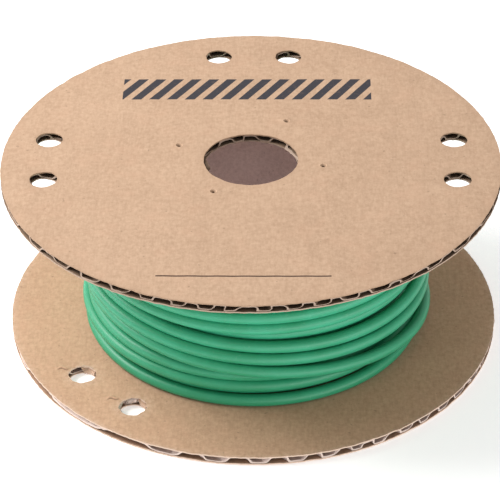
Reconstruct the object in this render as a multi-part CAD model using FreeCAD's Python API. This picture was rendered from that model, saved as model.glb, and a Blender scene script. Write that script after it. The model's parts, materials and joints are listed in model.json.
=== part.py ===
import FreeCAD, Part
import math
import os

# A throw-away cardboard reel full of round wire, standing on its lower flange.
# Two corrugated-board flanges are glued to the ends of a paperboard core tube, and the
# wire is wound between them. Millimetres, +Z up the reel's axis. The origin is the centre
# of the lower flange's outer face.

# The whole reel
FLANGE_RADIUS = 63.5
REEL_HEIGHT = 48.4
BORE_RADIUS = 12.0

# Corrugated board: outer liner, fluting, inner liner
BOARD_THICKNESS = 2.5
LINER_THICKNESS = 0.35
FLUTING_PAPER = 0.3
FLUTE_PITCH = 6.85
CREST_FLAT = 0.6
FLUTING_HEIGHT = BOARD_THICKNESS - 2 * LINER_THICKNESS

# Pairs of rim holes that hold the wire's tail: three sides have a pair, the fourth has none
RIM_HOLE_RADIUS = 3.5
RIM_HOLE_CIRCLE = 52.8
PAIR_HALF_ANGLE = 10.25
PAIR_ANGLES = (0, 90, 180)
LOWER_FLANGE_TURN = 45

# Four marks of a winding machine's drive pins, on the corners of a rectangle
PIN_MARK_RADIUS = 0.7
PIN_SPAN_LONG = 30.0
PIN_SPAN_SHORT = 23.5
PIN_TURN = 23.5
PIN_CENTRE_Y = 1.7

# Core tube, rolled from plies of paperboard and glued to both flanges
CORE_INNER_RADIUS = 19.05
PLY_THICKNESS = 0.6
PLY_NAMES = ("core_inner_ply", "core_body_ply_1", "core_body_ply_2", "core_outer_ply")
GLUE_THICKNESS = 0.25
CORE_OUTER_RADIUS = CORE_INNER_RADIUS + PLY_THICKNESS * len(PLY_NAMES)

# Winding: a barrel, fullest at mid-height
WINDING_END_RADIUS = 44.4
WINDING_MIDDLE_RADIUS = 46.9

UP = FreeCAD.Vector(0, 0, 1)
AXIS_FOOT = FreeCAD.Vector(0, 0, 0)


def cylinder(radius, z_low, height, x=0.0, y=0.0):
    """An upright solid cylinder standing at height z_low."""
    return Part.makeCylinder(radius, height, FreeCAD.Vector(x, y, z_low), UP)


def tube(inner_radius, outer_radius, z_low, height):
    """A plain tube about the reel's axis."""
    outside = cylinder(outer_radius, z_low, height)
    return outside.cut(cylinder(inner_radius, z_low, height))


def flange_cutters(z_low, height, turn):
    """The bore and the pairs of rim holes, as cylinders longer than the sheet is thick."""
    low = z_low - 1.0
    tall = height + 2.0
    cutters = [cylinder(BORE_RADIUS, low, tall)]
    for pair_angle in PAIR_ANGLES:
        for side in (-PAIR_HALF_ANGLE, PAIR_HALF_ANGLE):
            angle = math.radians(pair_angle + side + turn)
            x = RIM_HOLE_CIRCLE * math.cos(angle)
            y = RIM_HOLE_CIRCLE * math.sin(angle)
            cutters.append(cylinder(RIM_HOLE_RADIUS, low, tall, x, y))
    return cutters


def pin_mark_cutters(z_low, height):
    """Four small holes that the drive pins left in the upper flange's outer liner."""
    turn = math.radians(PIN_TURN)
    cutters = []
    for long_side in (-0.5, 0.5):
        for short_side in (-0.5, 0.5):
            along = long_side * PIN_SPAN_LONG
            across = short_side * PIN_SPAN_SHORT
            x = along * math.cos(turn) - across * math.sin(turn)
            y = along * math.sin(turn) + across * math.cos(turn) + PIN_CENTRE_Y
            cutters.append(cylinder(PIN_MARK_RADIUS, z_low - 1.0, height + 2.0, x, y))
    return cutters


def liner(z_low, turn, extra_cutters=()):
    """One flat sheet of linerboard with the flange's outline and holes."""
    sheet = cylinder(FLANGE_RADIUS, z_low, LINER_THICKNESS)
    cutters = flange_cutters(z_low, LINER_THICKNESS, turn) + list(extra_cutters)
    return sheet.cut(cutters)


def wave_side(offset, count):
    """Edges of one side of the wavy paper, in the XZ plane, from left to right.

    Each half wave is a flat crest glued to a liner and two tangent arcs down to the next
    crest. offset moves the side by half the paper's thickness, up or down.
    """
    rise = FLUTING_HEIGHT - FLUTING_PAPER
    run = FLUTE_PITCH / 2 - CREST_FLAT
    turn = 2 * math.atan(rise / run)
    bend = run / (2 * math.sin(turn))
    edges = []
    x = -count * FLUTE_PITCH / 2 - CREST_FLAT / 2
    for half_wave in range(2 * count):
        side = 1 if half_wave % 2 == 0 else -1
        crest_z = side * rise / 2 + offset
        first_bend = bend + side * offset
        second_bend = bend - side * offset
        flat_end = x + CREST_FLAT
        middle_x = flat_end + first_bend * math.sin(turn)
        middle_z = crest_z - side * first_bend * (1 - math.cos(turn))
        next_x = flat_end + run
        next_z = -side * rise / 2 + offset
        edges.append(line(x, crest_z, flat_end, crest_z))
        first_centre_z = crest_z - side * first_bend
        first_mid_x = flat_end + first_bend * math.sin(turn / 2)
        first_mid_z = first_centre_z + side * first_bend * math.cos(turn / 2)
        edges.append(arc(flat_end, crest_z, first_mid_x, first_mid_z, middle_x, middle_z))
        second_centre_z = next_z + side * second_bend
        second_mid_x = next_x - second_bend * math.sin(turn / 2)
        second_mid_z = second_centre_z - side * second_bend * math.cos(turn / 2)
        edges.append(arc(middle_x, middle_z, second_mid_x, second_mid_z, next_x, next_z))
        x = next_x
    return edges


def line(x1, z1, x2, z2):
    """A straight edge in the XZ plane."""
    return Part.makeLine(FreeCAD.Vector(x1, 0, z1), FreeCAD.Vector(x2, 0, z2))


def arc(x1, z1, x2, z2, x3, z3):
    """A circular edge through three points in the XZ plane."""
    points = [FreeCAD.Vector(x, 0, z) for x, z in ((x1, z1), (x2, z2), (x3, z3))]
    return Part.Arc(*points).toShape()


def fluting(z_low, turn):
    """The wavy middle paper of one flange: one long wave, cut to the flange's outline."""
    count = math.ceil(2 * FLANGE_RADIUS / FLUTE_PITCH) + 1
    upper = wave_side(FLUTING_PAPER / 2, count)
    lower = wave_side(-FLUTING_PAPER / 2, count)
    left = Part.makeLine(lower[0].Vertexes[0].Point, upper[0].Vertexes[0].Point)
    right = Part.makeLine(upper[-1].Vertexes[-1].Point, lower[-1].Vertexes[-1].Point)
    outline = Part.Wire(upper + [right] + lower[::-1] + [left])
    depth = 2 * FLANGE_RADIUS + 10
    wave = Part.Face(outline).extrude(FreeCAD.Vector(0, depth, 0))
    wave.translate(FreeCAD.Vector(0, -depth / 2, z_low + FLUTING_HEIGHT / 2))
    wave.rotate(AXIS_FOOT, UP, turn)
    disc = cylinder(FLANGE_RADIUS, z_low - 1.0, FLUTING_HEIGHT + 2.0)
    return wave.common(disc).cut(flange_cutters(z_low, FLUTING_HEIGHT, turn))


def flange(name, z_low, outer_is_low, turn, marks):
    """The three sheets of one flange, from the bottom up, by node name."""
    fluting_low = z_low + LINER_THICKNESS
    upper_liner_low = fluting_low + FLUTING_HEIGHT
    outer_low = z_low if outer_is_low else upper_liner_low
    inner_low = upper_liner_low if outer_is_low else z_low
    cutters = pin_mark_cutters(outer_low, LINER_THICKNESS) if marks else ()
    return {
        name + "_outer_liner": liner(outer_low, turn, cutters),
        name + "_fluting": fluting(fluting_low, turn),
        name + "_inner_liner": liner(inner_low, turn),
    }


def core():
    """The plies of the core tube and the ring of glue at each of its ends."""
    low = BOARD_THICKNESS + GLUE_THICKNESS
    length = REEL_HEIGHT - 2 * low
    parts = {}
    for number, name in enumerate(PLY_NAMES):
        inner = CORE_INNER_RADIUS + number * PLY_THICKNESS
        parts[name] = tube(inner, inner + PLY_THICKNESS, low, length)
    glue_lows = {"lower_glue_ring": BOARD_THICKNESS, "upper_glue_ring": low + length}
    for name, glue_low in glue_lows.items():
        parts[name] = tube(CORE_INNER_RADIUS, CORE_OUTER_RADIUS, glue_low, GLUE_THICKNESS)
    return parts


def winding():
    """The whole coil of wire as one closed solid of its outer shape."""
    low = BOARD_THICKNESS
    high = REEL_HEIGHT - BOARD_THICKNESS
    outer_side = arc(
        WINDING_END_RADIUS,
        low,
        WINDING_MIDDLE_RADIUS,
        REEL_HEIGHT / 2,
        WINDING_END_RADIUS,
        high,
    )
    bottom = line(CORE_OUTER_RADIUS, low, WINDING_END_RADIUS, low)
    top = line(WINDING_END_RADIUS, high, CORE_OUTER_RADIUS, high)
    inner_side = line(CORE_OUTER_RADIUS, high, CORE_OUTER_RADIUS, low)
    section = Part.Face(Part.Wire([bottom, outer_side, top, inner_side]))
    return section.revolve(AXIS_FOOT, UP, 360)


def all_parts():
    """Every node of the reel, by name."""
    top_low = REEL_HEIGHT - BOARD_THICKNESS
    parts = {}
    parts.update(flange("bottom_flange", 0.0, True, LOWER_FLANGE_TURN, False))
    parts.update(core())
    parts["wire_winding"] = winding()
    parts.update(flange("top_flange", top_low, False, 0, True))
    return parts


def main():
    os.makedirs("parts", exist_ok=True)
    for name, shape in all_parts().items():
        solids = shape.Solids
        print(name, len(solids), "solid", round(shape.Volume, 1), "mm3", shape.isValid())
        solids[0].exportStep(os.path.join("parts", name + ".step"))


main()
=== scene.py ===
import json
import math

import bpy
import numpy as np
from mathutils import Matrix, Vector
from mathutils.geometry import delaunay_2d_cdt


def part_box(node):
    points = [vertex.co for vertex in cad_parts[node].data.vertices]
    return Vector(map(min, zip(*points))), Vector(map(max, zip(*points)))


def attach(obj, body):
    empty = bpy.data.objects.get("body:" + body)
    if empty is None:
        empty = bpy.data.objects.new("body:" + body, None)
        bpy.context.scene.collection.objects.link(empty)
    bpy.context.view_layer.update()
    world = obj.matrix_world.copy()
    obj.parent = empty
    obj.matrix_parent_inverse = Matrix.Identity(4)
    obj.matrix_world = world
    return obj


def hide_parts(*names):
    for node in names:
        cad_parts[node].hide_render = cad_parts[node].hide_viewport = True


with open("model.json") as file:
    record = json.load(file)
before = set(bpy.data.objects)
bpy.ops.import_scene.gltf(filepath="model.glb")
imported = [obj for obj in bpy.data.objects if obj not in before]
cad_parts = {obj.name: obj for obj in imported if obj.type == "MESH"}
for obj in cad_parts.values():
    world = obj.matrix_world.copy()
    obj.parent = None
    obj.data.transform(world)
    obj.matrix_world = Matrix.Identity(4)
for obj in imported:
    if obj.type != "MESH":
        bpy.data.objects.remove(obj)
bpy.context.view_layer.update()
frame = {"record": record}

# A cardboard reel of green wire, standing on its lower flange. Metres, +Z up the reel's axis.

# ------------------------------------------------------------------ sizes from the frame
MM = 0.001
FLANGE_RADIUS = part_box("top_flange_outer_liner")[1][0]
REEL_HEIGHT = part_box("top_flange_outer_liner")[1][2]
BOARD_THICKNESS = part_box("bottom_flange_inner_liner")[1][2]
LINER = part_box("bottom_flange_outer_liner")[1][2]
GROOVE_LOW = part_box("wire_winding")[0][2]
GROOVE_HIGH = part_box("wire_winding")[1][2]
CORE_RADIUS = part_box("core_outer_ply")[1][0]
CORE_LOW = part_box("core_inner_ply")[0][2]
CORE_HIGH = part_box("core_inner_ply")[1][2]
MOUNTS = {mount["name"]: mount for mount in frame["record"]["mounts"]}
BORE_RADIUS = MOUNTS["bore"]["dims"]["r_mm"] * MM

# Holes near the rim
RIM_HOLE_RADIUS = 3.5 * MM
RIM_HOLE_CIRCLE = 52.8 * MM
PAIR_HALF_ANGLE = 10.25
PAIR_ANGLES = (0, 90, 180)
LOWER_FLANGE_TURN = 45

# Marks of the winding machine's four drive pins
PIN_MARK_RADIUS = 0.7 * MM
PIN_SPAN_LONG = 30.0 * MM
PIN_SPAN_SHORT = 23.5 * MM
PIN_TURN = 23.5
PIN_CENTRE_Y = 1.7 * MM

# Corrugated board
FLUTE_PITCH = 6.85 * MM
FLUTING_PAPER = 0.32 * MM
FLUTE_LEAN = 0.4
FLUTE_BUCKLE = 0.9 * MM
FLUTE_STEEPNESS = 3.2
LOWER_FLUTE_PHASE = -0.8 * MM

# Core: width of the paperboard strips, and the gap between a strip's turns
STRIP_PITCH = 34 * MM
STRIP_SEAM = 0.25 * MM
PLY_NAMES = ("core_inner_ply", "core_body_ply_1", "core_body_ply_2", "core_outer_ply")

# The top flange was glued on a little askew
TOP_TILT = 0.0084
TOP_SHIFT = (-0.6 * MM, 0, 0.3 * MM)
TOP_TWIST = -0.8

# Printing on the top face: a ruled line and a band of slanted bars
RULE_CENTRE = (-1.0 * MM, -51.7 * MM)
RULE_HALF_LENGTH, RULE_HALF_WIDTH = 20.8 * MM, 0.22 * MM
BAND_CENTRE = (-1.5 * MM, 34.5 * MM)
BAND_HALF_LENGTH, BAND_HALF_WIDTH = 32.8 * MM, 5.2 * MM
BAR_PERIOD, BAR_EDGE, BAR_SLANT = 2.35 * MM, 1.0 * MM, -0.6
INK_SOFTNESS = 0.06 * MM

# Camera: a long lens, well above the reel
CAMERA_ELEVATION = 34.18
CAMERA_DISTANCE = 0.6377
CAMERA_AIM_HEIGHT = 0.024
CAMERA_LENS = 177.1
CAMERA_SHIFT = (-0.0064, -0.0248)

# Paper colours: pale, dark
KRAFT_PALE = (0.60, 0.405, 0.272)
KRAFT_DARK = (0.47, 0.305, 0.198)


def add_object(name, data):
    """Puts a new object with that mesh, curve, light or camera into the scene."""
    thing = bpy.data.objects.new(name, data)
    bpy.context.scene.collection.objects.link(thing)
    return thing


def smooth_mesh(name, corners, faces, sharp_angle):
    """A mesh that is smooth but for edges sharper than that angle, in degrees."""
    mesh = bpy.data.meshes.new(name)
    mesh.from_pydata(corners, [], faces)
    mesh.shade_smooth()
    mesh.set_sharp_from_angle(angle=math.radians(sharp_angle))
    return mesh


# ------------------------------------------------------------------ the wire
WIRE_DIAMETER = 0.0032
CONDUCTOR_DIAMETER = 0.00205
STEPS_PER_TURN = 36
INNER_TURNS = 75
INNER_LIMIT = 39.0 / 1000
# Where the outer turns leave a gap, the inner ones bulge into it
BULGE_LOW, BULGE_HIGH = 16.0 / 1000, 23.5 / 1000
BULGE_FOOT, BULGE_LIMIT = 36.5 / 1000, 41.0 / 1000
START_ANGLE = 120
# Settling: how strongly the wire straightens, follows its guide and is pushed off a
# neighbour, the nearest that two turns lie in diameters, and metres moved in each round
STRAIGHTEN, FOLLOW, PUSH_OFF, NEAREST = 0.3, 0.15, 0.3, 0.985
TIGHTEN, BULGE_OUT = 0.00002, 0.00008
# Angles, in degrees, that the outer turns are guided at, round the front of the reel
GUIDE_ANGLES = (195, 225, 255, 285, 315, 345)
# Outer turns in the order of winding, first up the reel and then down over that layer:
# heights and radii of the wire's centre at the guide angles, in millimetres
OUTER_TURNS = (
    ((4.2, 4.2, 4.2, 4.2, 4.2, 4.2), (41.9, 42.2, 43.1, 43.6, 43.2, 42.7)),
    ((7.0, 6.9, 6.9, 6.6, 6.8, 7.2), (41.0, 41.2, 41.4, 40.4, 40.8, 41.2)),
    ((9.8, 9.5, 9.0, 8.5, 8.8, 9.6), (42.0, 43.3, 43.4, 42.2, 42.2, 41.4)),
    ((12.8, 12.6, 12.1, 11.5, 11.2, 11.6), (41.8, 43.2, 43.8, 42.9, 41.0, 40.8)),
    ((16.2, 15.6, 15.0, 14.6, 13.6, 13.8), (42.2, 42.4, 41.6, 41.0, 40.8, 40.6)),
    ((24.0, 24.3, 23.6, 23.5, 23.2, 22.7), (39.6, 40.2, 41.9, 42.4, 42.3, 42.0)),
    ((26.4, 26.8, 27.0, 27.0, 27.0, 27.0), (40.0, 40.6, 41.0, 41.0, 41.0, 41.0)),
    ((30.6, 30.6, 30.6, 30.6, 30.6, 30.8), (40.6, 41.0, 41.0, 41.0, 41.0, 41.0)),
    ((34.2, 34.2, 34.2, 34.2, 34.2, 34.6), (41.0, 41.0, 41.0, 41.0, 41.0, 41.0)),
    ((38.0, 38.0, 38.0, 38.0, 38.0, 38.5), (41.0, 41.0, 41.0, 41.0, 41.0, 41.0)),
    ((42.0, 42.0, 42.0, 42.0, 42.0, 42.5), (41.0, 41.0, 41.0, 41.0, 41.0, 41.0)),
    ((43.2, 43.2, 43.2, 43.2, 43.2, 43.0), (43.9, 43.9, 43.9, 43.9, 43.9, 43.9)),
    ((40.0, 40.0, 40.0, 40.0, 39.8, 39.4), (43.9, 43.9, 43.9, 43.9, 43.9, 43.9)),
    ((36.8, 36.8, 36.7, 36.7, 36.4, 36.0), (43.6, 43.9, 43.9, 43.9, 43.9, 43.9)),
    ((33.8, 33.6, 33.4, 33.3, 33.1, 32.8), (43.2, 43.6, 43.8, 43.9, 44.0, 44.0)),
    ((31.0, 30.4, 30.1, 30.1, 29.8, 29.8), (42.7, 43.4, 43.8, 43.9, 44.0, 44.0)),
    ((28.2, 27.2, 26.7, 27.0, 26.6, 26.6), (42.2, 43.3, 43.8, 44.0, 44.2, 44.2)),
    ((24.4, 22.8, 21.8, 20.4, 19.2, 19.4), (40.6, 41.4, 43.0, 44.1, 44.3, 44.5)),
    ((22.8, 21.7, 19.2, 16.8, 15.2, 15.0), (42.2, 44.0, 44.2, 44.1, 44.4, 44.8)),
    ((19.6, 18.5, 16.1, 13.4, 10.6, 7.0), (42.0, 43.8, 44.8, 44.8, 44.6, 44.6)),
)


def ceiling(radii):
    """Greatest height of the wire's centre under the leaning top flange, at each step."""
    angles = math.radians(START_ANGLE) + np.arange(len(radii)) * 2 * np.pi / STEPS_PER_TURN
    lean = TOP_TILT * (radii * np.cos(angles) - FLANGE_RADIUS)
    return GROOVE_HIGH + TOP_SHIFT[2] - 0.0001 - WIRE_DIAMETER / 2 + lean


def smooth_noise(rng, count, period):
    """Random values from -1 to 1 that change slowly, over about that many steps."""
    knots = rng.uniform(-1, 1, count // period + 4)
    place = np.arange(count) / period
    before = place.astype(int)
    part = place - before
    part = part * part * (3 - 2 * part)
    return knots[before] * (1 - part) + knots[before + 1] * part


def outer_guide(row):
    """Height (row 0) or radius (row 1) to aim for at each step of the outer turns, metres."""
    angles, values = [], []
    for number, turn in enumerate(OUTER_TURNS):
        for angle, value in zip(GUIDE_ANGLES, turn[row]):
            angles.append(angle + 360 * number)
            values.append(value / 1000)
    steps = START_ANGLE + np.arange(len(OUTER_TURNS) * STEPS_PER_TURN) * 360 / STEPS_PER_TURN
    weights = np.array([1, 2, 3, 2, 1]) / 9
    padded = np.pad(np.interp(steps, angles, values), 2, mode="edge")
    return np.convolve(padded, weights, mode="valid")


def lay_inner_turns():
    """Lays the inner turns on the core, each step landing on what is already under it.

    Returns the height and radius of the wire's centre at each step.
    """
    rng = np.random.default_rng(3)
    d = WIRE_DIAMETER
    low, high = GROOVE_LOW + d / 2, GROOVE_HIGH - d / 2 - 0.0006
    count = INNER_TURNS * STEPS_PER_TURN
    wander = smooth_noise(rng, count, int(STEPS_PER_TURN * 1.3)) * 0.5 * d
    reach = np.linspace(-0.35 * d, 0.35 * d, 15)
    heights, radii = np.zeros(count), np.zeros(count)
    below = [([], []) for _ in range(STEPS_PER_TURN)]
    target, way = low, 1
    now, drift = low, 0.0
    for step in range(count):
        target += way * d * 1.03 / STEPS_PER_TURN
        if target > high or target < low:
            way = -way
            target = min(max(target, low), high)
        aim = target + wander[step] * step / count
        places = np.clip(now + drift + reach, low, high)
        under_z, under_r = below[step % STEPS_PER_TURN]
        landing = np.full(len(places), CORE_RADIUS + d / 2)
        if under_z:
            gap = places[:, None] - np.array(under_z)[None]
            touching = np.abs(gap) < 0.999 * d
            rise = np.sqrt(np.maximum(d * d - gap * gap, 0))
            tops = np.where(touching, np.array(under_r) + rise, 0).max(1)
            landing = np.maximum(landing, tops)
        cost = landing + 60 * (places - aim) ** 2 + 800 * (places - now - drift) ** 2
        best = int(np.argmin(cost))
        drift = 0.7 * (places[best] - now)
        now = places[best]
        heights[step], radii[step] = now, landing[best]
        under_z.append(now)
        under_r.append(landing[best])
    return heights, radii


def in_bulge(heights):
    """Which heights lie beside the gap in the outer turns."""
    return (heights > BULGE_LOW) & (heights < BULGE_HIGH)


def settle_wire(heights, radii, rounds=260):
    """Lets the wire bend smoothly and lie against its neighbours without overlap.

    The outer turns are drawn towards their guides. The inner turns pull tight, but where
    the outer ones leave a gap they bulge into it.
    """
    d = WIRE_DIAMETER
    low = GROOVE_LOW + 0.0001 + d / 2
    turns = len(heights) // STEPS_PER_TURN
    inner = INNER_TURNS * STEPS_PER_TURN
    guide_z, guide_r = outer_guide(0), outer_guide(1)
    one, other = np.triu_indices(turns, 1)
    for number in range(rounds):
        high = ceiling(radii)
        for line in (heights, radii):
            line[1:-1] += STRAIGHTEN * ((line[:-2] + line[2:]) / 2 - line[1:-1])
        if number < rounds - 60:
            bulging = in_bulge(heights[:inner]) & (radii[:inner] > BULGE_FOOT)
            radii[:inner] += np.where(bulging, BULGE_OUT, -TIGHTEN)
        if number < rounds - 20:
            heights[inner:] += FOLLOW * (guide_z - heights[inner:])
            radii[inner:] += FOLLOW * (guide_r - radii[inner:])
        for _ in range(3):
            z = heights.reshape(turns, STEPS_PER_TURN)
            r = radii.reshape(turns, STEPS_PER_TURN)
            dz, dr = z[one] - z[other], r[one] - r[other]
            apart = np.sqrt(dz * dz + dr * dr) + 1e-9
            push = np.where(apart < NEAREST * d, (NEAREST * d - apart) / apart * PUSH_OFF, 0)
            np.add.at(z, one, dz * push)
            np.add.at(z, other, -dz * push)
            np.add.at(r, one, dr * push)
            np.add.at(r, other, -dr * push)
            np.clip(heights, low, high, out=heights)
            np.maximum(radii, CORE_RADIUS + d / 2, out=radii)
            limit = np.where(in_bulge(heights[:inner]), BULGE_LIMIT, INNER_LIMIT)
            np.minimum(radii[:inner], limit, out=radii[:inner])
    return heights, radii


def wire_route():
    """Points of the wire's centre line, from the core outwards."""
    inner_z, inner_r = lay_inner_turns()
    heights = np.concatenate([inner_z, outer_guide(0)])
    radii = np.concatenate([inner_r, outer_guide(1)])
    settle_wire(heights, radii)
    angles = math.radians(START_ANGLE) + np.arange(len(heights)) * 2 * np.pi / STEPS_PER_TURN
    return np.stack([radii * np.cos(angles), radii * np.sin(angles), heights], 1)


def make_wire(material):
    """The whole coil as one length of round wire on its own smooth curve."""
    route = wire_route()
    curve = bpy.data.curves.new("wire", "CURVE")
    curve.dimensions = "3D"
    spline = curve.splines.new("NURBS")
    spline.points.add(len(route) - 1)
    for point, place in zip(spline.points, route):
        point.co = (*place, 1.0)
    spline.order_u = 3
    spline.use_endpoint_u = True
    spline.resolution_u = 3
    spline.use_smooth = True
    curve.bevel_depth = WIRE_DIAMETER / 2
    curve.bevel_resolution = 4
    curve.use_fill_caps = True
    curve.materials.append(material)
    wire = add_object("wire", curve)
    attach(wire, "root")
    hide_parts("wire_winding")
    return wire


def make_conductor(wire, material):
    """The copper that shows at the wire's cut outer end."""
    spline = wire.data.splines[0]
    end, before = (Vector(spline.points[place].co[:3]) for place in (-1, -2))
    along = (end - before).normalized()
    curve = bpy.data.curves.new("conductor", "CURVE")
    curve.dimensions = "3D"
    stub = curve.splines.new("POLY")
    reaches = (-1.2 * MM, 0.3 * MM, 0.42 * MM)
    stub.points.add(len(reaches) - 1)
    for point, reach, swell in zip(stub.points, reaches, (1.0, 1.0, 0.9)):
        point.co = (*(end + along * reach), 1.0)
        point.radius = swell
    curve.bevel_depth = CONDUCTOR_DIAMETER / 2
    curve.bevel_resolution = 6
    curve.use_fill_caps = True
    curve.materials.append(material)
    conductor = add_object("conductor_end", curve)
    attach(conductor, "root")
    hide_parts("wire_winding")


# ------------------------------------------------------------------ corrugated board
def soft_field(rng, wavelength, waves=9):
    """A smooth random surface over x and y, mostly between -1 and 1."""
    angles = rng.uniform(0, 2 * np.pi, waves)
    scales = 2 * np.pi / (wavelength * rng.uniform(0.7, 1.6, waves))
    phases = rng.uniform(0, 2 * np.pi, waves)

    def field(x, y):
        total = 0
        for angle, scale, phase in zip(angles, scales, phases):
            total = total + np.sin(scale * (x * math.cos(angle) + y * math.sin(angle)) + phase)
        return total / math.sqrt(2 * waves)

    return field


def rim_holes(turn):
    """Centre and radius of each small hole near a flange's rim."""
    holes = []
    for pair_angle in PAIR_ANGLES:
        for side in (-PAIR_HALF_ANGLE, PAIR_HALF_ANGLE):
            angle = math.radians(pair_angle + side + turn)
            x, y = RIM_HOLE_CIRCLE * math.cos(angle), RIM_HOLE_CIRCLE * math.sin(angle)
            holes.append((x, y, RIM_HOLE_RADIUS))
    return holes


def pin_marks():
    """Centre and radius of the four pin marks."""
    turn = math.radians(PIN_TURN)
    marks = []
    for long_side in (-0.5, 0.5):
        for short_side in (-0.5, 0.5):
            along, across = long_side * PIN_SPAN_LONG, short_side * PIN_SPAN_SHORT
            x = along * math.cos(turn) - across * math.sin(turn)
            y = along * math.sin(turn) + across * math.cos(turn) + PIN_CENTRE_Y
            marks.append((x, y, PIN_MARK_RADIUS))
    return marks


class Board:
    """One flange's board: the shape of its faces, its holes and its flutes."""

    def __init__(self, name, low, turn, tilt, seed, outer_is_low,
                 shift=(0, 0, 0), twist=0.0, phase=0.0):
        rng = np.random.default_rng(seed)
        self.shift, self.twist = shift, math.radians(twist)
        self.name, self.low, self.tilt, self.outer_is_low = name, low, tilt, outer_is_low
        self.turn, self.phase = math.radians(turn), phase
        self.holes = [(0.0, 0.0, BORE_RADIUS)] + rim_holes(turn)
        self.warp = soft_field(rng, 90 * MM)
        self.crush = soft_field(rng, 9 * MM)
        self.waver = soft_field(rng, 5 * MM)
        self.lean = soft_field(rng, 14 * MM)
        self.buckle = soft_field(rng, 9 * MM)
        self.ragged = soft_field(rng, 1.6 * MM)
        self.drift = soft_field(rng, 50 * MM)

    def put(self, piece, node, material, slot):
        """Gives one of the board's papers its material and its place on the reel."""
        piece.data.materials.append(material)
        piece.location = self.shift
        piece.rotation_euler.z = self.twist
        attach(piece, "root")
        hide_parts(node)
        return piece

    def across(self, x, y):
        """Distance across the flutes."""
        return x * math.cos(self.turn) + y * math.sin(self.turn)

    def edge_nearness(self, x, y, width):
        """1 at the rim and at the holes' edges, falling to 0 at that distance from them."""
        gap = FLANGE_RADIUS - np.hypot(x, y)
        for hole_x, hole_y, radius in self.holes:
            gap = np.minimum(gap, np.hypot(x - hole_x, y - hole_y) - radius)
        near = np.clip(1 - gap / width, 0, 1)
        return near * near

    def wave(self, x, y):
        """Height of the fluting between -1 and 1, with flattened crests."""
        across = self.across(x, y) + self.phase + 0.25 * MM * self.drift(x, y)
        swing = np.tanh(FLUTE_STEEPNESS * np.cos(2 * np.pi * across / FLUTE_PITCH))
        return swing / math.tanh(FLUTE_STEEPNESS)

    def lift(self, x, y):
        """How far the whole board is raised or lowered there."""
        if self.tilt:
            return self.tilt * (x - FLANGE_RADIUS) + 0.12 * MM * np.minimum(self.warp(x, y), 0)
        return 0.12 * MM * np.abs(self.warp(x, y))

    def low_face(self, x, y):
        """Underside of the board's lower liner."""
        washboard = 0.02 * MM * (1 + self.wave(x, y))
        near = self.edge_nearness(x, y, 4 * MM)
        crush, waver = np.abs(self.crush(x, y)), np.abs(self.waver(x, y))
        waver = near * (0.10 * MM * crush + 0.12 * MM * waver)
        return self.low + self.lift(x, y) + washboard + waver

    def high_face(self, x, y):
        """Top side of the board's upper liner."""
        washboard = 0.02 * MM * (1 - self.wave(x, y))
        near = self.edge_nearness(x, y, 5 * MM)
        crush, waver = np.abs(self.crush(x, y)), np.abs(self.waver(x, y))
        waver = near * (0.16 * MM * crush + 0.07 * MM * waver)
        return self.low + BOARD_THICKNESS + self.lift(x, y) - washboard - waver

    def fluting_faces(self, x, y):
        """Underside and top side of the wavy paper."""
        low = self.low_face(x, y) + LINER
        high = self.high_face(x, y) - LINER
        swing = (high - low - FLUTING_PAPER) / 2
        step = 0.1 * MM
        dx, dy = step * math.cos(self.turn), step * math.sin(self.turn)
        slope = swing * (self.wave(x + dx, y + dy) - self.wave(x - dx, y - dy)) / (2 * step)
        half = FLUTING_PAPER / 2 * np.sqrt(1 + slope * slope)
        middle = (low + high) / 2 + swing * self.wave(x, y)
        return middle - half, middle + half


def loop_around(x, y, radius, spacing, roughness, field):
    """Points round a hole or rim, whose edge is a little uneven."""
    count = max(12, int(2 * math.pi * radius / spacing))
    angles = np.arange(count) * 2 * np.pi / count
    px, py = x + radius * np.cos(angles), y + radius * np.sin(angles)
    uneven = radius + roughness * field(px, py)
    return np.stack([x + uneven * np.cos(angles), y + uneven * np.sin(angles)], 1)


def inside_loop(points, loop, x, y):
    """Which points lie inside a loop that goes round x, y."""
    angles = np.arctan2(loop[:, 1] - y, loop[:, 0] - x)
    reach = np.hypot(loop[:, 0] - x, loop[:, 1] - y)
    order = np.argsort(angles)
    at = np.arctan2(points[:, 1] - y, points[:, 0] - x)
    edge = np.interp(at, angles[order], reach[order], period=2 * np.pi)
    return np.hypot(points[:, 0] - x, points[:, 1] - y) < edge


def triangulate(rim, holes, inner_points):
    """Flat triangles between a rim and its holes. holes holds (loop, x, y, radius)."""
    parts = [rim] + [hole[0] for hole in holes]
    edges, first = [], 0
    for loop in parts:
        numbers = np.arange(len(loop)) + first
        edges += list(zip(numbers.tolist(), np.roll(numbers, -1).tolist()))
        first += len(loop)
    everything = np.concatenate(parts + [inner_points])
    result = delaunay_2d_cdt([Vector(p) for p in everything / MM], edges, [], 0, 1e-5, False)
    points = np.array([tuple(p) for p in result[0]]) * MM
    triangles = np.array(result[2])
    middles = points[triangles].mean(1)
    keep = inside_loop(middles, rim, 0.0, 0.0)
    for loop, x, y, _ in holes:
        keep &= ~inside_loop(middles, loop, x, y)
    triangles = triangles[keep]
    a, b, c = points[triangles].transpose(1, 0, 2)
    area = (b - a)[:, 0] * (c - a)[:, 1] - (b - a)[:, 1] * (c - a)[:, 0]
    triangles[area < 0] = triangles[area < 0][:, ::-1]
    used, triangles = np.unique(triangles, return_inverse=True)
    return points[used], triangles.reshape(-1, 3)


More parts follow.
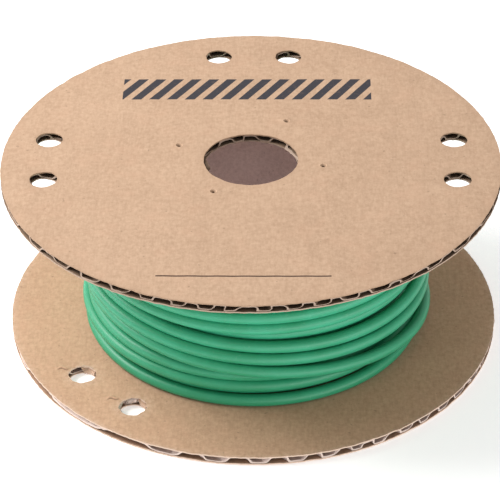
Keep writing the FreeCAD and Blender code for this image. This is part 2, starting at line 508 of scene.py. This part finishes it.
def thick_sheet(name, points, triangles, low, high, wear_and_shade, inside, shift=None):
    """A closed mesh: the flat triangles at two heights, joined along their open edges.

    The wear values are 1 at worn edges and fall below 0 where shade is painted into dents,
    grooves and flaps. inside says how much painted shade the low and the high face get, being
    shut in between the board's papers. The sides are marked as cut edges.
    """
    count = len(points)
    # Painted shade inside the board, kept weaker near worn edges and holes
    painted_shade_share = 1 - 0.45 * np.clip(wear_and_shade, 0, 1)
    x_low, x_high = points[:, 0], points[:, 0]
    y_low, y_high = points[:, 1], points[:, 1]
    if shift is not None:
        (x_low, y_low), (x_high, y_high) = shift(points, low), shift(points, high)
    upper = np.stack([x_high, y_high, high], 1)
    lower = np.stack([x_low, y_low, low], 1)
    edges = np.concatenate([triangles[:, [0, 1]], triangles[:, [1, 2]], triangles[:, [2, 0]]])
    keys = np.sort(edges, 1)
    _, place, times = np.unique(keys, axis=0, return_index=True, return_counts=True)
    rim = edges[place[times == 1]]
    sides = np.stack([rim[:, 1], rim[:, 0], rim[:, 0] + count, rim[:, 1] + count], 1)
    faces = triangles.tolist() + (triangles[:, ::-1] + count).tolist() + sides.tolist()
    mesh = smooth_mesh(name, np.concatenate([upper, lower]).tolist(), faces, 50)
    # Painted shade for faces shut in between the board's papers
    painted_inner_shade = np.concatenate([inside[1] * painted_shade_share, inside[0] * painted_shade_share])
    marks = (("wear_and_painted_shade", np.concatenate([wear_and_shade, wear_and_shade])), ("painted_inner_shade", painted_inner_shade))
    for label, values in marks:
        attribute = mesh.attributes.new(label, "FLOAT", "POINT")
        attribute.data.foreach_set("value", values.astype(np.float32))
    attribute = mesh.attributes.new("cut_edge", "FLOAT", "FACE")
    is_side = np.arange(len(faces)) >= len(faces) - len(sides)
    attribute.data.foreach_set("value", is_side.astype(np.float32))
    return add_object(name, mesh)


def filling_points(spacing_x, spacing_y, turn, rng, scatter):
    """A grid of points over a flange, turned to run along its flutes."""
    reach_x = np.arange(-FLANGE_RADIUS, FLANGE_RADIUS, spacing_x)
    reach_y = np.arange(-FLANGE_RADIUS, FLANGE_RADIUS, spacing_y)
    x, y = np.meshgrid(reach_x, reach_y)
    x, y = x.ravel(), y.ravel()
    x = x + rng.uniform(-scatter, scatter, len(x))
    y = y + rng.uniform(-scatter, scatter, len(y))
    across = x * math.cos(turn) - y * math.sin(turn)
    along = x * math.sin(turn) + y * math.cos(turn)
    return np.stack([across, along], 1)


def clear_points(points, rim, holes, gap):
    """Only the points that are inside the rim and outside the holes, by at least that gap."""
    keep = np.hypot(points[:, 0], points[:, 1]) < np.hypot(rim[:, 0], rim[:, 1]).min() - gap
    for _, x, y, radius in holes:
        keep &= np.hypot(points[:, 0] - x, points[:, 1] - y) > radius + gap
    return points[keep]


def crease_places(board):
    """Small dents that a tool left beside two of the lower flange's holes."""
    first, second = [hole for hole in board.holes[1:] if hole[0] < 0 and hole[1] < 0]
    return [(first[0] - 4.85 * MM, first[1] + 2.2 * MM),
            (second[0] - 4.95 * MM, second[1] + 3.1 * MM)]


def make_liner(board, is_low, material):
    """One flat paper of a board, with worn, slightly wavering edges."""
    rng = np.random.default_rng(11 + is_low)
    outer = board.outer_is_low == is_low
    torn = board.turn > 0 and not is_low
    rim = loop_around(0, 0, FLANGE_RADIUS - 0.08 * MM, 0.6 * MM, 0.06 * MM, board.ragged)
    holes = []
    for x, y, radius in board.holes:
        rough = 0.12 * MM if torn and radius < BORE_RADIUS else 0.06 * MM
        holes.append((loop_around(x, y, radius, 0.45 * MM, rough, board.ragged), x, y, radius))
    extra = [loop_around(0, 0, FLANGE_RADIUS - 0.8 * MM, 1.0 * MM, 0, board.ragged)]
    for x, y, radius in board.holes:
        extra.append(loop_around(x, y, radius + 0.5 * MM, 0.7 * MM, 0, board.ragged))
    marks = pin_marks() if outer and not is_low else []
    for x, y, radius in marks:
        hole_radius = 0.45 * radius
        loop = loop_around(x, y, hole_radius, 0.15 * MM, 0.06 * MM, board.ragged)
        holes.append((loop, x, y, hole_radius))
        for ring in (0.7, 1.0, 1.3, 1.7):
            extra.append(loop_around(x, y, ring * radius, 0.25 * MM, 0, board.ragged))
    creases = crease_places(board) if torn else []
    patch = np.stack(np.meshgrid(np.arange(-14, 15), np.arange(-8, 9)), -1)
    patch = patch.reshape(-1, 2) * 0.2 * MM
    extra += [patch + np.array(place) for place in creases]
    grid = filling_points(1.14 * MM, 1.3 * MM, board.turn, rng, 0.12 * MM)
    keep_clear = [(None, x, y, radius + 1.3 * MM) for _, x, y, radius in holes]
    grid = clear_points(grid, rim, keep_clear, 1.1 * MM)
    points, triangles = triangulate(rim, holes, np.concatenate(extra + [grid]))
    x, y = points[:, 0], points[:, 1]
    wear_and_shade = board.edge_nearness(x, y, 1.8 * MM)
    if is_low:
        low = board.low_face(x, y)
        high = low + LINER
    else:
        high = board.high_face(x, y)
        for mark_x, mark_y, radius in marks:
            gap = np.hypot(x - mark_x, y - mark_y) / radius
            dent = np.clip(1.15 - gap, 0, 1)
            swollen = np.exp(-((gap - 1.35) / 0.25) ** 2)
            high = high - 0.5 * MM * dent + 0.10 * MM * swollen
            # Painted shade darkens the pin mark's dent
            wear_and_shade = wear_and_shade - 1.3 * dent
        for crease_x, crease_y in creases:
            along = x - crease_x
            wriggle = 0.25 * MM * np.sin(2.6 * along / MM)
            bow = y - crease_y + 0.10 * (along / MM) ** 2 * MM + wriggle
            fade = np.exp(-(along / (1.7 * MM)) ** 4)
            high = high + 0.25 * MM * fade * np.exp(-((bow - 0.5 * MM) / (0.5 * MM)) ** 2)
            crack = fade * np.exp(-(bow / (0.2 * MM)) ** 2)
            high = high - 0.2 * MM * crack
            # Painted shade darkens the crease's groove
            wear_and_shade = wear_and_shade - crack
        low = high - LINER
    # The liner's face towards the wavy paper gets painted shade
    piece = thick_sheet(board.name + ("_low" if is_low else "_high") + "_paper", points, triangles,
                        low, high, wear_and_shade, (0, 1) if is_low else (1, 0))
    node = board.name + ("_outer_liner" if outer else "_inner_liner")
    return board.put(piece, node, material, "kraft_liner")


def make_torn_flap(name, board, hole, start, end, drop, inset, material):
    """Paper torn by the punch and pushed down inside a hole, from one angle to another. Painted
    shade darkens its upper part, and its colour runs paler towards its lower end.
    """
    rng = np.random.default_rng(int(start))
    columns, rows = int(abs(end - start) / 3) + 2, 7
    ragged = smooth_noise(rng, columns, 3) + 0.5 * smooth_noise(rng, columns, 1)
    bulge = smooth_noise(rng, columns, 4)
    x, y, radius = hole
    front, back, painted_flap_shade = [], [], []
    for column in range(columns):
        share = column / (columns - 1)
        angle = math.radians(start + (end - start) * share)
        taper = min(1.0, 0.35 + 5 * share, 0.35 + 5 * (1 - share))
        length = drop * (1 + 0.18 * ragged[column]) * taper
        for row in range(rows):
            down = row / (rows - 1)
            curl = math.sin(down * 2.2) + 0.25 * down * bulge[column]
            reach = radius + 0.15 * MM - inset * curl
            z = board.low + BOARD_THICKNESS - 0.12 * MM - length * down
            # Painted shade, darkest at the flap's top and gone part way down
            painted_flap_shade.append(min(0.0, 1.6 * down - 1.0))
            for side, extra in ((front, 0.0), (back, 0.2 * MM)):
                out = reach + extra
                side.append((x + out * math.cos(angle), y + out * math.sin(angle), z))
    count = len(front)
    faces, toward_edge_colour = [], []
    for column in range(columns - 1):
        for row in range(rows - 1):
            a = column * rows + row
            faces.append((a, a + 1, a + rows + 1, a + rows))
            faces.append((a + count, a + rows + count, a + rows + 1 + count, a + 1 + count))
            toward_edge_colour += [0.7 * row / (rows - 2)] * 2
    outline = [column * rows for column in range(columns)]
    outline += [(columns - 1) * rows + row for row in range(1, rows)]
    outline += [column * rows + rows - 1 for column in range(columns - 2, -1, -1)]
    outline += [row for row in range(rows - 2, 0, -1)]
    for a, b in zip(outline, outline[1:] + outline[:1]):
        faces.append((a, b, b + count, a + count))
        toward_edge_colour.append(0.7)
    mesh = smooth_mesh(name, front + back, faces, 50)
    marks = (("wear_and_painted_shade", "POINT", painted_flap_shade + painted_flap_shade), ("cut_edge", "FACE", toward_edge_colour))
    for label, domain, values in marks:
        attribute = mesh.attributes.new(label, "FLOAT", domain)
        attribute.data.foreach_set("value", np.array(values, np.float32))
    piece = add_object(name, mesh)
    return board.put(piece, board.name + "_inner_liner", material, "kraft_liner")


def make_fluting(board, material):
    """The wavy paper between a board's two liners. Its waves lean over a little."""
    rng = np.random.default_rng(17)
    middle = board.low + BOARD_THICKNESS / 2
    fluting_height = BOARD_THICKNESS - 2 * LINER

    def leaning(points, z):
        """Where the paper's points go when its waves lean over and buckle."""
        x, y = points[:, 0], points[:, 1]
        height = z - middle - board.lift(x, y)
        room = np.clip((FLANGE_RADIUS - np.hypot(x, y)) / (2 * MM), 0, 1)
        away = np.abs(board.across(x, y)) / FLANGE_RADIUS
        lean = FLUTE_LEAN * (0.6 + 1.6 * board.lean(x, y)) * height
        fullness = np.cos(np.pi * np.clip(height / fluting_height, -0.5, 0.5))
        belly = FLUTE_BUCKLE * (0.5 + 1.1 * board.buckle(x, y)) * fullness
        shift = (lean + belly) * np.maximum(room, 1 - away ** 2)
        return x + shift * math.cos(board.turn), y + shift * math.sin(board.turn)

    rim = loop_around(0, 0, FLANGE_RADIUS - 0.3 * MM, 0.25 * MM, 0.05 * MM, board.ragged)
    holes = []
    for x, y, radius in board.holes:
        loop = loop_around(x, y, radius + 0.1 * MM, 0.25 * MM, 0.08 * MM, board.ragged)
        holes.append((loop, x, y, radius + 0.1 * MM))
    grid = filling_points(FLUTE_PITCH / 24, 2.4 * MM, board.turn, rng, 0.0)
    grid = clear_points(grid, rim, holes, 0.25 * MM)
    points, triangles = triangulate(rim, holes, grid)
    low, high = board.fluting_faces(points[:, 0], points[:, 1])
    wear_and_shade = board.edge_nearness(points[:, 0], points[:, 1], 1.8 * MM)
    name = board.name + "_wavy_paper"
    # Both faces of the wavy paper get the painted shade of the board's inside
    piece = thick_sheet(name, points, triangles, low, high, wear_and_shade, (1, 1), leaning)
    return board.put(piece, board.name + "_fluting", material, "fluting_paper")


# ------------------------------------------------------------------ core
def tilted(x, z, board):
    """Height z on the core, squeezed to fit under the leaning top flange."""
    share = (z - CORE_LOW) / (CORE_HIGH - CORE_LOW)
    return z + share * (board.tilt * (x - FLANGE_RADIUS) + board.shift[2] - 0.1 * MM)


def make_spiral_ply(name, inner, outer, pitch, start, way, board, material):
    """A strip of paperboard wound up the core in a spiral, with a narrow seam."""
    steps = 72
    turns = int((CORE_HIGH - CORE_LOW) / pitch) + 2
    corners, faces = [], []
    for step in range(-steps, turns * steps + 1):
        foot = CORE_LOW + pitch * (step / steps + start)
        bottom = min(max(foot, CORE_LOW), CORE_HIGH)
        top = min(max(foot + pitch - STRIP_SEAM, CORE_LOW), CORE_HIGH)
        if top - bottom < 0.05 * MM:
            continue
        angle = way * 2 * math.pi * step / steps
        for radius, z in ((inner, bottom), (outer, bottom), (outer, top), (inner, top)):
            x = radius * math.cos(angle)
            corners.append((x, radius * math.sin(angle), tilted(x, z, board)))
    rows = len(corners) // 4
    for row in range(rows - 1):
        for side in range(4):
            a, b = row * 4 + side, row * 4 + (side + 1) % 4
            face = (a, b, b + 4, a + 4)
            faces.append(face if way < 0 else face[::-1])
    last = (rows - 1) * 4
    start_cap, end_cap = (0, 3, 2, 1), (last, last + 1, last + 2, last + 3)
    faces.append(start_cap if way < 0 else start_cap[::-1])
    faces.append(end_cap if way < 0 else end_cap[::-1])
    mesh = smooth_mesh(name + "_strip", corners, faces, 40)
    mesh.materials.append(material)
    piece = add_object(name + "_strip", mesh)
    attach(piece, "root")
    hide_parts(name)


def make_core(board, material):
    """Each ply of the core as its own spiral strip, wound both ways by turns."""
    thickness = CORE_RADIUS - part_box("core_body_ply_2")[1][0]
    inner = CORE_RADIUS - len(PLY_NAMES) * thickness
    for number, name in enumerate(PLY_NAMES):
        low = inner + number * thickness
        high = low + thickness - 0.03 * MM
        start, way = -0.4 - 0.3 * number, 1 if number % 2 else -1
        make_spiral_ply(name, low, high, STRIP_PITCH, start, way, board, material)


def make_glue_ring(name, foot, board, material):
    """A ring of dried glue, squeezed out unevenly at both sides of the core's end."""
    rng = np.random.default_rng(23)
    steps = 120
    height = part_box(name)[1][2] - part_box(name)[0][2]
    squeeze = smooth_noise(rng, steps + 1, 6) * 0.3 * MM
    squeeze[-6:] = np.linspace(squeeze[-7], squeeze[0], 6)
    core_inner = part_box("core_inner_ply")[1][0] - 0.6 * MM
    corners, faces = [], []
    for step in range(steps):
        angle = 2 * math.pi * step / steps
        inner, outer = core_inner - 0.35 * MM - squeeze[step], CORE_RADIUS
        top = foot + height
        for radius, z in ((inner, foot), (outer, foot), (outer, top), (inner, top)):
            x = radius * math.cos(angle)
            corners.append((x, radius * math.sin(angle), tilted(x, z, board)))
    for step in range(steps):
        for side in range(4):
            a, b = step * 4 + side, step * 4 + (side + 1) % 4
            c, d = (b + 4) % (4 * steps), (a + 4) % (4 * steps)
            faces.append((d, c, b, a))
    mesh = smooth_mesh(name + "_bead", corners, faces, 60)
    mesh.materials.append(material)
    piece = add_object(name + "_bead", mesh)
    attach(piece, "root")
    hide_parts(name)


# ------------------------------------------------------------------ materials
class Recipe:
    """A material's nodes, added and linked one at a time."""

    def __init__(self, name):
        self.material = bpy.data.materials.new(name)
        self.material.use_nodes = True
        self.nodes = self.material.node_tree.nodes
        self.links = self.material.node_tree.links
        self.shader = self.nodes["Principled BSDF"]
        self.place = self.nodes.new("ShaderNodeTexCoord").outputs["Object"]

    def put(self, socket, value):
        """Links a value into a socket, or sets it there."""
        if isinstance(value, bpy.types.NodeSocket):
            self.links.new(value, socket)
        else:
            socket.default_value = value

    def noise(self, scale, detail=4.0, roughness=0.6, place=None, stretch=None):
        """Noise over the object's own coordinates; scale is in features per metre."""
        where = place or self.place
        if stretch:
            mapping = self.nodes.new("ShaderNodeMapping")
            self.put(mapping.inputs["Vector"], where)
            mapping.inputs["Rotation"].default_value = (0, 0, stretch[0])
            mapping.inputs["Scale"].default_value = (1.0, stretch[1], 1.0)
            where = mapping.outputs["Vector"]
        node = self.nodes.new("ShaderNodeTexNoise")
        self.put(node.inputs["Vector"], where)
        node.inputs["Scale"].default_value = scale
        node.inputs["Detail"].default_value = detail
        node.inputs["Roughness"].default_value = roughness
        return node.outputs["Fac"]

    def math(self, operation, a, b=0.0, c=0.0):
        """One arithmetic step on up to three values."""
        node = self.nodes.new("ShaderNodeMath")
        node.operation = operation
        for socket, value in zip(node.inputs, (a, b, c)):
            self.put(socket, value)
        return node.outputs[0]

    def between(self, value, low, high, out_low=0.0, out_high=1.0):
        """value, taken from one range to another and held inside it."""
        node = self.nodes.new("ShaderNodeMapRange")
        for socket, number in zip(node.inputs, (value, low, high, out_low, out_high)):
            self.put(socket, number)
        return node.outputs[0]

    def mix(self, share, a, b):
        """Colour a turned into colour b by that share."""
        node = self.nodes.new("ShaderNodeMix")
        node.data_type = "RGBA"
        colours = [socket for socket in node.inputs if socket.type == "RGBA"]
        self.put(node.inputs[0], share)
        self.put(colours[0], (*a, 1.0) if isinstance(a, tuple) else a)
        self.put(colours[1], (*b, 1.0) if isinstance(b, tuple) else b)
        return [socket for socket in node.outputs if socket.type == "RGBA"][0]

    def bump(self, height, distance, strength=1.0):
        """Fine relief; distance is how deep it is, in metres."""
        node = self.nodes.new("ShaderNodeBump")
        node.inputs["Strength"].default_value = strength
        node.inputs["Distance"].default_value = distance
        self.put(node.inputs["Height"], height)
        self.put(self.shader.inputs["Normal"], node.outputs["Normal"])

    def attribute(self, name):
        """A value that the mesh carries."""
        node = self.nodes.new("ShaderNodeAttribute")
        node.attribute_name = name
        return node.outputs["Fac"]

    def split(self):
        """The object's own x, y and z."""
        node = self.nodes.new("ShaderNodeSeparateXYZ")
        self.put(node.inputs[0], self.place)
        return node.outputs[0], node.outputs[1], node.outputs[2]


def paper(name, pale, dark, edge, painted_shade_strength=0.8, ink=None):
    """Brown paper: mottled fibres, specks, worn edges, painted shade inside the board and in
    dents, and printing where ink is given.
    """
    recipe = Recipe(name)
    clouds = recipe.noise(70, 3)
    mottle = recipe.noise(800, 5, 0.7)
    fibre_1 = recipe.noise(2100, 3, 0.6, stretch=(0.5, 0.18))
    fibre_2 = recipe.noise(1800, 3, 0.6, stretch=(2.0, 0.2))
    fibres = recipe.math("MULTIPLY_ADD", fibre_2, 0.5, recipe.math("MULTIPLY", fibre_1, 0.5))
    tone = recipe.math("MULTIPLY_ADD", mottle, 0.5, recipe.math("MULTIPLY", fibres, 0.35))
    tone = recipe.math("MULTIPLY_ADD", clouds, 0.15, tone)
    colour = recipe.mix(recipe.between(tone, 0.40, 0.60), dark, pale)
    pink = recipe.between(recipe.noise(160, 2), 0.5, 0.75, 0.0, 0.25)
    colour = recipe.mix(pink, colour, tuple(p * k for p, k in zip(pale, (1.03, 0.94, 0.93))))
    specks = recipe.between(recipe.noise(900, 2, 0.5), 0.70, 0.76, 0.0, 0.45)
    colour = recipe.mix(specks, colour, tuple(value * 0.42 for value in dark))
    worn = recipe.math("MULTIPLY", recipe.attribute("wear_and_painted_shade"), recipe.between(mottle, 0.35, 0.6))
    colour = recipe.mix(recipe.math("MULTIPLY", worn, 0.35), colour, edge)
    # Painted shade in dents, grooves and the tops of torn flaps, where the wear values are below 0
    painted_dent_shade = recipe.between(recipe.attribute("wear_and_painted_shade"), -1.0, -0.1, 0.8, 0.0)
    colour = recipe.mix(painted_dent_shade, colour, tuple(value * 0.35 for value in dark))
    cut = recipe.attribute("cut_edge")
    colour = recipe.mix(recipe.math("MULTIPLY", cut, 0.85), colour, edge)
    # Painted shade: the paper darkens where it is shut in between the board's papers, but not on
    # cut edges
    shade = recipe.math("MULTIPLY", recipe.attribute("painted_inner_shade"), painted_shade_strength)
    shade = recipe.math("SUBTRACT", shade, cut)
    shade = recipe.math("MAXIMUM", shade, 0.0)
    colour = recipe.mix(shade, colour, tuple(value * 0.22 for value in dark))
    if ink:
        colour = ink(recipe, colour, mottle)
    recipe.put(recipe.shader.inputs["Base Color"], colour)
    recipe.put(recipe.shader.inputs["Roughness"], recipe.between(mottle, 0.3, 0.7, 0.95, 0.78))
    recipe.shader.inputs["Specular IOR Level"].default_value = 0.25
    height = recipe.math("MULTIPLY_ADD", mottle, 0.7, fibres)
    recipe.bump(height, 0.06 * MM, 0.55)
    return recipe.material


def printed_bar(recipe, x, y, centre, half_length, half_width):
    """1 inside a rectangle on the top face, falling softly to 0 at its edges."""
    inside = []
    for value, middle, half in ((x, centre[0], half_length), (y, centre[1], half_width)):
        away = recipe.math("ABSOLUTE", recipe.math("SUBTRACT", value, middle))
        inside.append(recipe.between(away, half, half + INK_SOFTNESS, 1, 0))
    return recipe.math("MULTIPLY", *inside)


def top_printing(recipe, colour, mottle):
    """A thin ruled line at the front of the top face and a row of slanted bars at the back."""
    x, y, _ = recipe.split()
    rule = printed_bar(recipe, x, y, RULE_CENTRE, RULE_HALF_LENGTH, RULE_HALF_WIDTH)
    band = printed_bar(recipe, x, y, BAND_CENTRE, BAND_HALF_LENGTH, BAND_HALF_WIDTH)
    slant = recipe.math("MULTIPLY_ADD", y, BAR_SLANT, x)
    wave = recipe.math("PINGPONG", recipe.math("ADD", slant, 1.0), BAR_PERIOD)
    bars = recipe.between(wave, BAR_EDGE, BAR_EDGE + INK_SOFTNESS)
    band = recipe.math("MULTIPLY", band, bars)
    patchy = recipe.between(mottle, 0.25, 0.45, 0.82, 0.97)
    colour = recipe.mix(recipe.math("MULTIPLY", rule, patchy), colour, (0.045, 0.022, 0.016))
    return recipe.mix(recipe.math("MULTIPLY", band, patchy), colour, (0.034, 0.036, 0.048))


def paperboard():
    """Core board: matt, with fine fibres that run round the tube. Its very pale colour is painted
    light, brightening the core's shaded inside.
    """
    recipe = Recipe("grey_paperboard")
    mottle = recipe.noise(1100, 5, 0.7)
    streaks = recipe.noise(90, 4, 0.6)
    tone = recipe.math("MULTIPLY_ADD", mottle, 0.6, recipe.math("MULTIPLY", streaks, 0.4))
    # Painted light: a colour far paler than grey-brown board, so the shaded inside of the core
    # looks lit
    colour = recipe.mix(recipe.between(tone, 0.40, 0.60), (0.73, 0.59, 0.555), (0.91, 0.76, 0.725))
    specks = recipe.between(recipe.noise(1500, 2), 0.68, 0.74, 0.0, 0.5)
    colour = recipe.mix(specks, colour, (0.22, 0.15, 0.13))
    recipe.put(recipe.shader.inputs["Base Color"], colour)
    recipe.put(recipe.shader.inputs["Roughness"], recipe.between(mottle, 0.3, 0.7, 0.95, 0.8))
    recipe.shader.inputs["Specular IOR Level"].default_value = 0.2
    recipe.bump(mottle, 0.05 * MM, 0.5)
    return recipe.material


def glue():
    """Dried milky glue."""
    recipe = Recipe("dried_glue")
    lumps = recipe.noise(600, 3)
    colour = recipe.mix(recipe.between(lumps, 0.35, 0.65), (0.55, 0.47, 0.33), (0.72, 0.64, 0.48))
    recipe.put(recipe.shader.inputs["Base Color"], colour)
    recipe.put(recipe.shader.inputs["Roughness"], recipe.between(lumps, 0.3, 0.7, 0.35, 0.55))
    recipe.bump(lumps, 0.1 * MM, 0.5)
    return recipe.material


def insulation():
    """Satin green plastic with a faint grain along the wire, a little dust, and painted light and
    shade by height.
    """
    recipe = Recipe("green_insulation")
    uv = recipe.nodes["Texture Coordinate"].outputs["UV"]
    drawn = recipe.nodes.new("ShaderNodeMapping")
    recipe.put(drawn.inputs["Vector"], uv)
    drawn.inputs["Scale"].default_value = (180.0, 5.0, 1.0)
    grain = recipe.noise(2.2, 3, 0.55, place=drawn.outputs["Vector"])
    clouds = recipe.noise(120, 3)
    dust = recipe.between(recipe.noise(1100, 3, 0.6), 0.6, 0.78, 0.0, 0.10)
    cloudy = recipe.between(clouds, 0.3, 0.7)
    colour = recipe.mix(cloudy, (0.024, 0.335, 0.168), (0.036, 0.41, 0.228))
    # Painted light and shade: lower turns darker and greener, upper turns paler and bluer as if lit
    # by reflected white light
    height = recipe.between(recipe.split()[2], 8 * MM, 30 * MM, 0.55, 0.0)
    colour = recipe.mix(height, colour, (0.018, 0.27, 0.115))
    streaks = recipe.between(grain, 0.42, 0.6, 0.0, 0.22)
    colour = recipe.mix(streaks, colour, (0.018, 0.25, 0.115))
    colour = recipe.mix(dust, colour, (0.45, 0.55, 0.45))
    recipe.put(recipe.shader.inputs["Base Color"], colour)
    recipe.put(recipe.shader.inputs["Roughness"], recipe.between(clouds, 0.3, 0.7, 0.44, 0.54))
    recipe.shader.inputs["IOR"].default_value = 1.5
    recipe.shader.inputs["Coat Weight"].default_value = 0.15
    recipe.shader.inputs["Coat Roughness"].default_value = 0.35
    recipe.bump(grain, 0.03 * MM, 0.35)
    return recipe.material


def copper():
    """Freshly cut copper, dulled a little, with the cutter's fine scratches."""
    recipe = Recipe("copper")
    scratches = recipe.noise(2600, 3, 0.6, stretch=(0.4, 0.15))
    bright = recipe.between(scratches, 0.35, 0.65)
    colour = recipe.mix(bright, (0.62, 0.27, 0.14), (0.80, 0.42, 0.24))
    recipe.put(recipe.shader.inputs["Base Color"], colour)
    recipe.shader.inputs["Metallic"].default_value = 1.0
    recipe.put(recipe.shader.inputs["Roughness"], recipe.between(scratches, 0.3, 0.7, 0.28, 0.45))
    recipe.bump(scratches, 0.02 * MM, 0.5)
    return recipe.material


def floor_material():
    """White studio floor that glows a little."""
    recipe = Recipe("floor")
    tone = recipe.noise(8, 2)
    recipe.put(recipe.shader.inputs["Base Color"],
               recipe.mix(tone, (0.90, 0.90, 0.90), (0.92, 0.92, 0.92)))
    recipe.shader.inputs["Roughness"].default_value = 0.9
    recipe.shader.inputs["Emission Color"].default_value = (1, 1, 1, 1)
    recipe.shader.inputs["Emission Strength"].default_value = 0.45
    return recipe.material


# ------------------------------------------------------------------ floor, light, camera
def make_floor():
    """The surface that the reel stands on."""
    bpy.ops.mesh.primitive_plane_add(size=6, location=(0, 0, 0))
    floor = bpy.context.object
    floor.name = "floor"
    floor.data.materials.append(floor_material())


def make_area_light(name, place, width, height, power):
    """A rectangular lamp that faces the reel's foot."""
    light = bpy.data.lights.new(name, "AREA")
    light.shape = "RECTANGLE"
    light.size, light.size_y = width, height
    light.energy = power
    lamp = add_object(name, light)
    lamp.location = place
    lamp.rotation_euler = (-Vector(place)).to_track_quat("-Z", "Y").to_euler()


def make_camera():
    """A long lens, well above the reel, looking at its middle."""
    elevation = math.radians(CAMERA_ELEVATION)
    camera_data = bpy.data.cameras.new("camera")
    camera_data.sensor_width = 36
    camera_data.lens = CAMERA_LENS
    camera_data.shift_x, camera_data.shift_y = CAMERA_SHIFT
    camera_data.clip_start = 0.01
    camera = add_object("camera", camera_data)
    height = CAMERA_AIM_HEIGHT + CAMERA_DISTANCE * math.sin(elevation)
    camera.location = (0, -CAMERA_DISTANCE * math.cos(elevation), height)
    camera.rotation_euler = (math.pi / 2 - elevation, 0, 0)
    bpy.context.scene.camera = camera


def make_world():
    """Even white light from all round."""
    world = bpy.data.worlds.new("studio")
    world.use_nodes = True
    background = world.node_tree.nodes["Background"]
    background.inputs["Color"].default_value = (1, 1, 1, 1)
    background.inputs["Strength"].default_value = 0.45
    bpy.context.scene.world = world
    bpy.context.scene.view_settings.view_transform = "Standard"


make_camera()
make_conductor(make_wire(insulation()), copper())
# The lower board's papers have pale cut edges and little painted shade. The top board's copies have
# dark cut edges and strong painted shade: painted shade for the top flange's rim.
kraft = paper("kraft_liner", (0.61, 0.388, 0.257), (0.475, 0.29, 0.185),
              (0.72, 0.56, 0.45), 0.5)
top_kraft = paper("top_kraft_liner", KRAFT_PALE, KRAFT_DARK, (0.43, 0.32, 0.25), 0.9)
printed_kraft = paper("printed_kraft_liner", KRAFT_PALE, KRAFT_DARK,
                      (0.40, 0.26, 0.17), 0.9, top_printing)
fluting = paper("fluting_paper", (0.70, 0.55, 0.49), (0.57, 0.44, 0.39),
                (0.78, 0.64, 0.57), 0.15)
# A darker copy of the wavy paper for the top board: painted shade for the dark tunnels of its
# flutes
shaded_top_fluting = paper("shaded_top_fluting_paper", (0.40, 0.26, 0.17), (0.30, 0.19, 0.12),
                    (0.45, 0.34, 0.27), 0.95)
bottom = Board("bottom_flange", 0.0, LOWER_FLANGE_TURN, 0.0, 5, True,
               phase=LOWER_FLUTE_PHASE)
top = Board("top_flange", REEL_HEIGHT - BOARD_THICKNESS, 0, TOP_TILT, 8, False,
            TOP_SHIFT, TOP_TWIST)
for board in (bottom, top):
    make_liner(board, True, top_kraft if board is top else kraft)
    make_liner(board, False, printed_kraft if board is top else kraft)
    make_fluting(board, shaded_top_fluting if board is top else fluting)
first_hole, second_hole = [hole for hole in bottom.holes[1:] if hole[0] < 0 and hole[1] < 0]
make_torn_flap("torn_flap_a", bottom, first_hole, 22, 98, 1.9 * MM, 0.45 * MM, kraft)
make_torn_flap("torn_flap_b", bottom, second_hole, 4, 66, 1.7 * MM, 0.5 * MM, kraft)
make_torn_flap("torn_flap_c", bottom, second_hole, 74, 118, 1.0 * MM, 0.8 * MM, fluting)
make_core(top, paperboard())
dried_glue = glue()
make_glue_ring("lower_glue_ring", BOARD_THICKNESS, top, dried_glue)
make_glue_ring("upper_glue_ring", CORE_HIGH, top, dried_glue)
make_floor()
make_area_light("key", (-0.54, 0.14, 0.50), 0.45, 0.45, 7.1)
make_area_light("front", (0.75, -0.85, 0.13), 1.6, 0.24, 6.6)
make_world()
